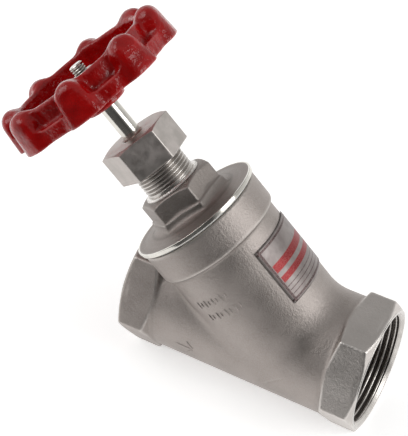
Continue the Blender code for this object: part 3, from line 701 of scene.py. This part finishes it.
def bonnet_field(x, y, z):
    """The bonnet up to its shoulder, upright: screwed boss, flange, dish, pad, hexagon and bores."""
    overlap, foot, sharp = 0.5, 0.35, 0.3
    screw_edge, boss_overlap, bore_edge = 0.8, 1.0, 0.2
    dish_reach, dish_height, dish_lean, dish_overlap = 8.6, 1.5, 0.6, 1.5
    flange_inset, flange_lift, flange_drop = 0.5, 0.1, 0.04
    chamfer_sine, chamfer_cosine = 0.5, 0.866
    pad_ledge, pad_overlap, shoulder_depth = 0.7, 0.2, 2.0
    dish_fillet, pad_fillet = 1.2, 1.6
    radius = np.hypot(x, y)
    screw = slab(z, BONNET_SCREW_BASE, FLANGE_BASE + overlap)
    screw = soft_max(radius - BONNET_SCREW_RADIUS, screw, screw_edge)
    boss = np.maximum(radius - BONNET_BOSS, slab(z, BONNET_BASE, BONNET_SCREW_BASE + boss_overlap))
    dish = radius - (BONNET_FLAT + dish_reach * np.exp(-np.maximum(z - FLANGE_TOP, 0.0) / dish_height))
    dish = np.maximum(dish * dish_lean, slab(z, FLANGE_BASE + overlap, BONNET_HEX_BASE + dish_overlap))
    flange = slab(z, FLANGE_BASE + flange_lift, FLANGE_TOP - flange_drop)
    flange = soft_max(radius - FLANGE_RADIUS + flange_inset, flange, sharp)
    sides = hexagon(x, y, BONNET_FLAT, BONNET_TURN, HEX_EDGE)
    chamfer = (radius - BONNET_FLAT * LAND_SHARE) * chamfer_sine + (z - BONNET_HEX_TOP) * chamfer_cosine
    hexagon_part = soft_max(sides, chamfer, HEX_EDGE)
    hexagon_part = soft_max(hexagon_part, slab(z, BONNET_HEX_BASE, BONNET_HEX_TOP), foot)
    pad = slab(z, FLANGE_TOP - overlap, BONNET_HEX_BASE + pad_overlap)
    pad = soft_max(sides - pad_ledge, pad, foot)
    shoulder = slab(z, BONNET_HEX_TOP - shoulder_depth, SHOULDER_TOP)
    shoulder = soft_max(radius - SHOULDER_RADIUS, shoulder, sharp)
    dish = soft_min(soft_min(flange, dish, dish_fillet), pad, pad_fillet)
    field = soft_min(np.minimum(screw, boss), dish, sharp)
    field = soft_min(field, hexagon_part, HEX_EDGE)
    field = soft_min(field, shoulder, sharp)
    backseat = (radius - SCREW_BORE + z - BACKSEAT) / ROOT2
    bores = np.minimum(radius - STEM_BORE, np.maximum(radius - SCREW_BORE, backseat))
    return soft_max(field, -bores, bore_edge)


def make_bonnet():
    side, painted_shade, machined_depth, machined_span = 28.0, 0.35, 0.5, 3.0
    low, high = (-side, -side, BONNET_BASE), (side, side, SHOULDER_TOP)
    points, faces = surface_net(bonnet_field, low, high, BONNET_CELL)
    marks = wear_and_light_marks(bonnet_field, points, 0.5, 0.6)
    # Painted shade: the whole bonnet gets at least this share of the dark hollow colour, so it renders darker
    # than the body.
    marks["hollow"] = np.maximum(marks["hollow"], painted_shade)
    top = 1.0 + (points[:, 2] - SHOULDER_TOP + machined_depth) * machined_span
    marks["machined"] = np.clip(top, 0.0, 1.0)
    new_piece("bonnet_casting", lean(points), faces, CAST, "body", "cast_steel", ["bonnet"], marks=marks)


def make_gland_thread():
    """The bonnet's fine male thread, as a turned sleeve that starts inside the shoulder."""
    relief, root_depth, run_in, run_out = 0.6, 1.0, 0.8, 0.4
    painted_shade, shade_start, shade_span, plain_top = 0.6, 0.15, 0.7, 1.0
    columns = 128
    profile = [
        (GLAND_BORE, GLAND_TOP), (GLAND_RADIUS - GLAND_BEVEL, GLAND_TOP),
        (GLAND_RADIUS, GLAND_TOP - GLAND_BEVEL), (GLAND_RADIUS, SHOULDER_TOP + relief),
        (GLAND_RADIUS, SHOULDER_TOP - root_depth), (GLAND_BORE, SHOULDER_TOP - root_depth),
    ]
    profile = subdivide(soften(profile, 0.1, 2), GLAND_PITCH / THREAD_STEPS)

    def cut_thread(angle, radius, height):
        on_wall = radius > GLAND_RADIUS - SAME_RADIUS
        fade = np.clip((height - SHOULDER_TOP - run_out) / run_in, 0.0, 1.0)
        root = 1.0 - thread_wave(height / GLAND_PITCH - angle / math.tau)
        return radius - on_wall * fade * root * GLAND_THREAD, height

    points, faces, lay = spin(profile, columns, cut_thread)
    radius, height = polar(points)
    outside = (radius > GLAND_RADIUS - GLAND_BEVEL) & (height > SHOULDER_TOP)
    outside = outside & (height < GLAND_TOP - plain_top)
    # Painted shade in the roots of the thread, given to the hollow mark.
    hollow = painted_shade * outside * np.clip((GLAND_RADIUS - shade_start - radius) / shade_span, 0.0, 1.0)
    marks = {"lay": lay, "hollow": hollow}
    new_piece("gland_thread", lean(points), faces, MACHINED, "body", "bright_steel", marks=marks)


def make_flange_rim():
    """The turned and polished edge of the bonnet's flange."""
    width, rounding, step, columns = 0.9, 0.3, 0.4, 240
    outer, inner = FLANGE_RADIUS, FLANGE_RADIUS - width
    rim = [(outer, FLANGE_TOP), (outer, FLANGE_BASE), (inner, FLANGE_BASE), (inner, FLANGE_TOP)]
    points, faces, lay = spin(subdivide(soften(rim, rounding, 5), step), columns)
    new_piece("flange_rim", lean(points), faces, POLISHED, "body", "bright_steel", marks={"lay": lay})


def hex_radius(angle, flat, turn, corner):
    """Distance from the middle to the side of a hexagon with rounded corners, in a direction."""
    fold = np.abs((angle - turn + HALF_SIXTH) % SIXTH - HALF_SIXTH)
    centre = (flat - corner) / math.cos(HALF_SIXTH)
    away = HALF_SIXTH - fold
    arc = centre * np.cos(away) + np.sqrt(np.maximum(corner ** 2 - (centre * np.sin(away)) ** 2, 0.0))
    straight = flat / np.cos(fold)
    reach = (flat - corner) * math.tan(HALF_SIXTH) / flat
    return np.where(np.tan(fold) < reach, straight, arc)


def make_nut(name, size, turn, corner, slope, both_ends, bore, finish, body, slot, node):
    """A hexagon nut whose corners are turned off, with its bore's profile given from top to bottom."""
    flat, base, top = size
    columns, least_cut, foot_chamfer, bore_rounding, bore_step = 240, 0.02, 0.25, 0.1, 0.8
    land, slope = flat * LAND_SHARE, math.tan(math.radians(slope))
    angles = np.arange(columns) * math.tau / columns
    side = hex_radius(angles, flat, turn, corner)
    cut = np.maximum(side - land, least_cut)
    rings = []

    def ring(radius, height):
        rings.append(np.stack(np.broadcast_arrays(radius, height, angles)[:2], axis=1))

    top_corner = top - cut * slope
    low_corner = base + (cut * slope if both_ends else foot_chamfer)
    low_edge = land if both_ends else side - foot_chamfer
    for share in (0.5, 0.9, 1.0):
        ring(bore[-1][0] + (low_edge - bore[-1][0]) * share, base)
    if both_ends:
        for share in (0.06, 0.5, 0.94):
            ring(land + cut * share, base + cut * slope * share)
    for share in (0.0, 0.02, 0.1, 0.35, 0.65, 0.9, 0.98, 1.0):
        ring(side, low_corner + (top_corner - low_corner) * share)
    for share in (0.94, 0.5, 0.06):
        ring(land + cut * share, top - cut * slope * share)
    for share in (1.0, 0.9, 0.5, 0.1):
        ring(bore[0][0] + (land - bore[0][0]) * share, top)
    for radius, height in subdivide(soften(bore, bore_rounding, 2, closed=False), bore_step, closed=False):
        ring(radius, height)
    grid = np.stack(rings)
    points = np.stack([grid[..., 0] * np.cos(angles), grid[..., 0] * np.sin(angles), grid[..., 1]], axis=2)
    steps = np.linalg.norm(np.diff(grid.mean(axis=1), axis=0), axis=1)
    marks = {"lay": np.repeat(np.r_[0.0, np.cumsum(steps)], columns)}
    faces = ring_faces(len(rings), columns, True)
    new_piece(name, lean(points.reshape(-1, 3)), faces, finish, body, slot, [node], marks=marks)


def make_packing_nut():
    eye_bevel, mouth_width, mouth_depth = 0.5, 0.8, 1.0
    corner, slope = 0.45, 18.0
    bore = [
        (NUT_EYE + eye_bevel, NUT_TOP), (NUT_EYE, NUT_TOP - eye_bevel), (NUT_EYE, NUT_BORE_TOP),
        (NUT_BORE, NUT_BORE_TOP), (NUT_BORE, NUT_BASE + mouth_depth), (NUT_BORE + mouth_width, NUT_BASE),
    ]
    size = (NUT_FLAT, NUT_BASE, NUT_TOP)
    looks = (NUT_STEEL, "body", "cast_steel", "packing_nut")
    make_nut("gland_nut", size, NUT_TURN, corner, slope, False, bore, *looks)


# ---- stem, wheel and their fasteners

def make_stem():
    top_bevel, bevel, shoulder, columns = 0.5, 1.0, 2.0, 96
    square_swell, square_corner = STEM_SQUARE * 1.2, 1.15
    square_clearance, square_start = 0.25, 0.05
    stud_depth, screw_depth, shade_start, shade_span = 0.55, 0.9, 0.08, 0.35
    square_top, square_base = HUB_TOP - GAP, HUB_BASE
    head_top, neck_radius = STEM_HEAD_BASE + STEM_HEAD_HEIGHT, STEM_SCREW_RADIUS - bevel
    profile = [
        (0.0, STEM_TOP), (STEM_STUD - top_bevel, STEM_TOP), (STEM_STUD, STEM_TOP - top_bevel),
        (STEM_STUD, square_top), (square_swell, square_top), (square_swell, square_base),
        (STEM_RADIUS, HUB_BASE - GAP), (STEM_RADIUS, STEM_SCREW_TOP + shoulder),
        (STEM_SCREW_RADIUS, STEM_SCREW_TOP), (STEM_SCREW_RADIUS, STEM_SCREW_BASE),
        (neck_radius, STEM_SCREW_BASE - bevel), (neck_radius, head_top),
        (STEM_HEAD_RADIUS, head_top), (STEM_HEAD_RADIUS, STEM_HEAD_BASE + bevel),
        (STEM_HEAD_RADIUS - bevel, STEM_HEAD_BASE), (0.0, STEM_HEAD_BASE),
    ]
    profile = subdivide(soften(profile, 0.15, 2, closed=False), 0.25, closed=False)

    def shape(angle, radius, height):
        stud = (np.abs(radius - STEM_STUD) < SAME_RADIUS) & (height > HUB_TOP)
        stud_root = 1.0 - thread_wave(height / STUD_PITCH - angle / math.tau)
        screw = (np.abs(radius - STEM_SCREW_RADIUS) < SAME_RADIUS) & (height < STEM_SCREW_TOP)
        screw_root = 1.0 - thread_wave(height / STEM_SCREW_PITCH - angle / math.tau)
        square = (height > HUB_BASE) & (height < HUB_TOP - square_clearance)
        square = square & (radius > STEM_STUD + square_start)
        quarter = math.pi / 2.0
        fold = np.abs((angle - WHEEL_TURN + quarter / 2.0) % quarter - quarter / 2.0)
        flat = STEM_SQUARE * np.minimum(1.0 / np.cos(fold), square_corner)
        share = np.clip((radius - STEM_STUD) / (square_swell - STEM_STUD), 0.0, 1.0)
        radius = np.where(square, STEM_STUD + (flat - STEM_STUD) * share, radius)
        return radius - stud * stud_root * stud_depth - screw * screw_root * screw_depth, height

    points, faces, lay = spin_solid(profile, columns, shape)
    radius, height = polar(points)
    on_stud = (height > HUB_TOP) & (height < STEM_TOP - top_bevel)
    # Painted shade in the roots of the stud's thread, given to the hollow mark.
    hollow = on_stud * np.clip((STEM_STUD - shade_start - radius) / shade_span, 0.0, 1.0)
    marks = {"lay": lay, "hollow": hollow}
    new_piece("polished_stem", lean(points), faces, POLISHED, "stem", "bright_steel", ["stem"], marks=marks)


def wheel_rim(radius, angle, height):
    """A thin inner wall on a flat base, with rounded lobes that stand out and up."""
    lobe_taper, lobe_narrowing, lobe_sink = 0.07, 0.16, 4.0
    outward_power, sideways_power, section_power = 3.0, 2.4, 2.6
    base_edge, wall_edge, lobe_crown, inner_edge, foot_edge = 0.8, 1.4, 5.6, 1.0, 0.4
    wall_fillet, lobe_fillet = 1.2, 1.8
    step = math.tau / LOBES
    fold = (angle + step / 2.0) % step - step / 2.0
    along, out = radius * np.sin(fold), radius * np.cos(fold)
    base = soft_max(slab(radius, RIM_INNER, RIM_VALLEY), slab(height, 0.0, RIM_LIP), base_edge)
    wall = slab(radius, RIM_INNER, RIM_INNER + RIM_WALL_THICKNESS)
    wall = soft_max(wall, slab(height, 0.0, RIM_WALL), wall_edge)
    rise = np.maximum(height, 0.0)
    outer = RIM_RADIUS - lobe_taper * rise
    middle, deep = (outer + RIM_INNER) / 2.0, (outer - RIM_INNER) / 2.0
    wide = LOBE_HALF - lobe_narrowing * rise
    section = np.abs((out - middle) / deep) ** outward_power + np.abs(along / wide) ** sideways_power
    section = section ** (1.0 / section_power)
    lobe = soft_max((section - 1.0) * deep, slab(height, -lobe_sink, RIM_LOBE), lobe_crown)
    lobe = soft_max(lobe, RIM_INNER - radius, inner_edge)
    rim = soft_min(soft_min(base, wall, wall_fillet), lobe, lobe_fillet)
    return soft_max(rim, -height, foot_edge)


def wheel_field(x, y, z):
    """The whole handwheel, upright: rim, hub, spokes and the stem's square hole."""
    hub_edge, spoke_edge, spoke_overlap, hub_fillet, spoke_fillet, hole_edge = 0.8, 1.2, 1.0, 1.6, 1.8, 0.2
    radius = np.hypot(x, y)
    angle = np.arctan2(y, x) - WHEEL_TURN
    hub = soft_max(radius - HUB_RADIUS, slab(z, HUB_BASE, HUB_TOP), hub_edge)
    quarter = math.tau / SPOKES
    turned = (angle + quarter / 2.0) % quarter - quarter / 2.0
    across, outward = np.abs(radius * np.sin(turned)), np.abs(radius * np.cos(turned))
    spoke = soft_max(across - SPOKE_HALF, slab(z, SPOKE_BASE, SPOKE_TOP), spoke_edge)
    spoke = np.maximum(spoke, radius - RIM_INNER - spoke_overlap)
    rim = wheel_rim(radius, angle, z - RIM_BASE)
    field = soft_min(rim, soft_min(hub, spoke, hub_fillet), spoke_fillet)
    square = np.maximum(outward, across) - STEM_SQUARE - GAP
    return soft_max(field, -square, hole_edge)


def make_handwheel():
    margin = 1.0
    reach = RIM_RADIUS + margin + 0.1
    low, high = (-reach, -reach, HUB_BASE), (reach, reach, RIM_BASE + RIM_LOBE + 0.8)
    points, faces = surface_net(wheel_field, low, high, WHEEL_CELL)
    marks = wear_and_light_marks(wheel_field, points, 0.45, 0.7)
    new_piece("painted_handwheel", lean(points), faces, RED, "stem", "red_paint", ["handwheel"], marks=marks)


def make_wheel_fasteners():
    """The washer and the nut that hold the wheel on the stem."""
    rounding, step, columns, bevel, corner, slope = 0.15, 0.5, 72, 0.4, 0.2, 30.0
    hole = STEM_STUD + GAP
    low, high = HUB_TOP + GAP, HUB_TOP + GAP + WASHER_THICKNESS
    washer = [(WASHER_RADIUS, high), (WASHER_RADIUS, low), (hole, low), (hole, high)]
    points, faces, lay = spin(subdivide(soften(washer, rounding), step), columns)
    looks, marks = (MACHINED, "stem", "bright_steel"), {"lay": lay}
    new_piece("flat_washer", lean(points), faces, *looks, ["wheel_washer"], marks=marks)
    base = high + GAP
    top = base + WHEEL_NUT_HEIGHT
    bore = [(hole + bevel, top), (hole, top - bevel), (hole, base + bevel), (hole + bevel, base)]
    size = (WHEEL_NUT_FLAT, base, top)
    make_nut("hexagon_nut", size, WHEEL_TURN, corner, slope, True, bore, *looks, "wheel_nut")


# ---- name plate and casting marks

def patch_faces(columns, rows):
    """Faces of a thin patch whose under side comes first and whose upper side follows."""
    count = columns * rows
    faces = []
    for i in range(columns - 1):
        for j in range(rows - 1):
            a, b, c, d = i * rows + j, (i + 1) * rows + j, (i + 1) * rows + j + 1, i * rows + j + 1
            faces += [[a + count, b + count, c + count, d + count], [d, c, b, a]]
    border = list(range(rows)) + [i * rows + rows - 1 for i in range(1, columns)]
    border += [(columns - 1) * rows + j for j in range(rows - 2, -1, -1)]
    border += [i * rows for i in range(columns - 2, 0, -1)]
    for here, after in zip(border, border[1:] + border[:1]):
        faces.append([after, here, here + count, after + count])
    return faces


def make_plate():
    """The foil plate round the neck, with its printed coordinates from 0 to 1."""
    columns, rows, edge_share = 60, 50, 0.5
    u, v = np.meshgrid(np.linspace(0.0, 1.0, columns), np.linspace(0.0, 1.0, rows), indexing="ij")
    arc, height = PLATE_END - PLATE_START, PLATE_TOP - PLATE_BASE
    from_side = np.minimum(u, 1.0 - u) / (PLATE_ROUNDING / (arc * PLATE_RADIUS))
    from_end = np.minimum(v, 1.0 - v) / (PLATE_ROUNDING / height)
    crown = np.maximum(np.clip(np.minimum(from_side, from_end), 0.0, 1.0) ** 0.5, edge_share)
    angle = PLATE_START + arc * u
    layers = []
    for level in (0.0, 1.0):
        radius = PLATE_RADIUS + PLATE_THICKNESS * level * crown
        layer = np.stack([radius * np.cos(angle), radius * np.sin(angle), PLATE_BASE + height * v], axis=2)
        layers.append(layer.reshape(-1, 3))
    marks = {"across": np.tile(u.ravel(), 2), "along": np.tile(v.ravel(), 2)}
    points, faces = lean(np.concatenate(layers)), patch_faces(columns, rows)
    new_piece("printed_plate", points, faces, FOIL, "body", "foil", ["name_plate"], marks=marks)


def raised_bar(radius, angle, height, length, width, turn):
    """A low rounded bar on a cylinder, centred at an angle and a height, turned in its surface."""
    columns, rows, rise, sink, root = 14, 10, 0.4, 0.05, 0.6
    end_power, side_power = 6, 4
    s, w = np.meshgrid(np.linspace(-1.0, 1.0, columns), np.linspace(-1.0, 1.0, rows), indexing="ij")
    crown = np.clip(1.0 - np.abs(s) ** end_power, 0.0, 1.0) * np.clip(1.0 - np.abs(w) ** side_power, 0.0, 1.0)
    along, across = s * length / 2.0, w * width / 2.0
    u = along * math.cos(turn) - across * math.sin(turn)
    v = along * math.sin(turn) + across * math.cos(turn)
    theta = angle + u / radius
    points = []
    for lift in (-root, rise * crown - sink):
        reach = radius + lift
        layer = np.stack([reach * np.cos(theta), reach * np.sin(theta), height + v], axis=2)
        points.append(layer.reshape(-1, 3))
    return np.concatenate(points), patch_faces(columns, rows)


def make_marks():
    """Blank stand-ins for the cast characters: two rows of short upright strokes and a plain chevron."""
    stroke_width, long_stroke, short_stroke, spacing = 0.8, 3.6, 2.2, 0.08
    upright = math.pi / 2.0
    bars = []
    for height, start, stop in ((41.0, -103.0, -74.0), (34.6, -101.0, -68.0)):
        for angle in np.radians(np.linspace(start, stop, 4)):
            for place, length in ((angle, long_stroke), (angle + spacing, short_stroke)):
                bars.append((lean, raised_bar(NECK_RADIUS, place, height, length, stroke_width, upright)))
    arrow_width, shaft, barb, barb_turn = 0.9, 8.0, 4.6, 0.9
    for angle, x, length, turn in (
        (97.0, -40.0, shaft, 0.0), (92.0, -37.3, barb, -barb_turn), (102.0, -37.3, barb, barb_turn),
    ):
        bar = raised_bar(RUN_RADIUS, math.radians(angle), x, length, arrow_width, turn + upright)
        bars.append((onto_run, bar))
    points, faces, start = [], [], 0
    for place, (bar_points, bar_faces) in bars:
        points.append(place(bar_points))
        faces += [[corner + start for corner in face] for face in bar_faces]
        start += len(bar_points)
    new_piece("casting_marks", np.concatenate(points), faces, CAST, "body", "cast_steel")


def onto_run(points):
    """Upright millimetres to the run, with heights along X and angles from the top towards -Y."""
    x, y, z = points.T
    return np.stack([z, -y, x], axis=1)


# ---- hidden nodes, stage, light and camera

def finish_hidden_nodes():
    """The inner CAD nodes keep their shapes and get finished materials."""
    rings = ("packing_ring_1", "packing_ring_2", "packing_ring_3", "packing_ring_4")
    for name in (*rings, "bonnet_gasket", "disc_seal"):
        paint_node(name, POLYMER)
    for name in ("packing_washer", "gland_follower", "disc", "seal_washer", "seal_nut", "swivel_nut"):
        paint_node(name, MACHINED)


def paint_node(name, material):
    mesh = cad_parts[name].data
    mesh.materials.clear()
    mesh.materials.append(material)


def make_stage():
    """A pale floor under the end hexagons. It glows a little, so that it renders nearly white."""
    side, front, back, drop = 1.2, -0.22, 1.6, -END_FLAT * MM
    mesh = bpy.data.meshes.new("floor")
    corners = [(-side, front, drop), (side, front, drop), (side, back, drop), (-side, back, drop)]
    mesh.from_pydata(corners, [], [(0, 1, 2, 3)])
    floor = add_object("floor", mesh)
    f = Finish("pale_floor", Roughness=0.9, Emission_Color=(1.0, 1.0, 1.0, 1.0), Emission_Strength=0.5)
    colour = f.mix(f.noise(30.0), (0.93, 0.93, 0.925), (0.96, 0.96, 0.955))
    mesh.materials.append(f.use(Base_Color=colour))


def area_light(name, place, target, size, power):
    light = bpy.data.lights.new(name, "AREA")
    light.shape = "RECTANGLE"
    light.size, light.size_y = size
    light.energy = power
    lamp = add_object(name, light)
    lamp.location = place
    lamp.rotation_euler = (Vector(target) - Vector(place)).to_track_quat("-Z", "Y").to_euler()


def make_lights():
    size = (0.5, 0.6)
    area_light("right_softbox", (0.80, 0.12, 0.50), (0.0, 0.0, 0.03), size, 3.6)
    area_light("left_softbox", (-0.65, -0.33, 0.60), (-0.05, 0.0, 0.08), size, 2.4)


def direction_share(tree, direction, axis, low, high, start, stop):
    """A value that eases from start to stop as a direction comes round towards an axis."""
    facing = tree.nodes.new("ShaderNodeVectorMath")
    facing.operation = "DOT_PRODUCT"
    facing.inputs[1].default_value = axis
    tree.links.new(direction, facing.inputs[0])
    ramp = tree.nodes.new("ShaderNodeMapRange")
    ramp.interpolation_type = "SMOOTHSTEP"
    for label, value in (("From Min", low), ("From Max", high), ("To Min", start), ("To Max", stop)):
        ramp.inputs[label].default_value = value
    tree.links.new(facing.outputs["Value"], ramp.inputs["Value"])
    return ramp.outputs["Result"]


def combine(tree, operation, a, b):
    """The value of a Math node in the world's node tree."""
    node = tree.nodes.new("ShaderNodeMath")
    node.operation = operation
    tree.links.new(a, node.inputs[0])
    tree.links.new(b, node.inputs[1])
    return node.outputs[0]


def make_world():
    """A white studio that is dimmer on one side and above, in front of a white backdrop."""
    world = bpy.data.worlds.new("studio")
    world.use_nodes = True
    bpy.context.scene.world = world
    tree = world.node_tree
    direction = tree.nodes.new("ShaderNodeTexCoord").outputs["Generated"]
    dark = direction_share(tree, direction, DARK_SIDE, 0.38, 0.76, 1.0, 0.13)
    sky = direction_share(tree, direction, (0.0, 0.0, 1.0), 0.05, 0.75, 0.85, 0.42)
    backdrop = tree.nodes.new("ShaderNodeLightPath").outputs["Is Camera Ray"]
    strength = combine(tree, "MAXIMUM", backdrop, combine(tree, "MULTIPLY", dark, sky))
    background = tree.nodes["Background"].inputs
    tree.links.new(strength, background["Strength"])
    background["Color"].default_value = (1.0, 0.995, 0.985, 1.0)


def make_camera():
    """The camera, turned to the right of -Y, raised, and rolled a little, as the object was photographed."""
    place = Vector((0.12644, -0.31156, 0.40355))
    turn, raised, roll = math.radians(28.7589), math.radians(45.1821), math.radians(0.2978)
    data = bpy.data.cameras.new("camera")
    data.lens = 107.14
    data.sensor_width = 36.0
    camera = add_object("camera", data)
    tilt = Matrix.Rotation(math.pi / 2.0 - raised, 4, "X")
    stand = Matrix.Rotation(turn, 4, "Z") @ tilt @ Matrix.Rotation(roll, 4, "Z")
    camera.matrix_world = Matrix.Translation(place) @ stand
    bpy.context.scene.camera = camera


make_body()
make_bonnet()
make_gland_thread()
make_flange_rim()
make_packing_nut()
make_stem()
make_handwheel()
make_wheel_fasteners()
make_plate()
make_marks()
finish_hidden_nodes()
make_stage()
make_world()
make_lights()
make_camera()
bpy.context.scene.view_settings.view_transform = "Standard"
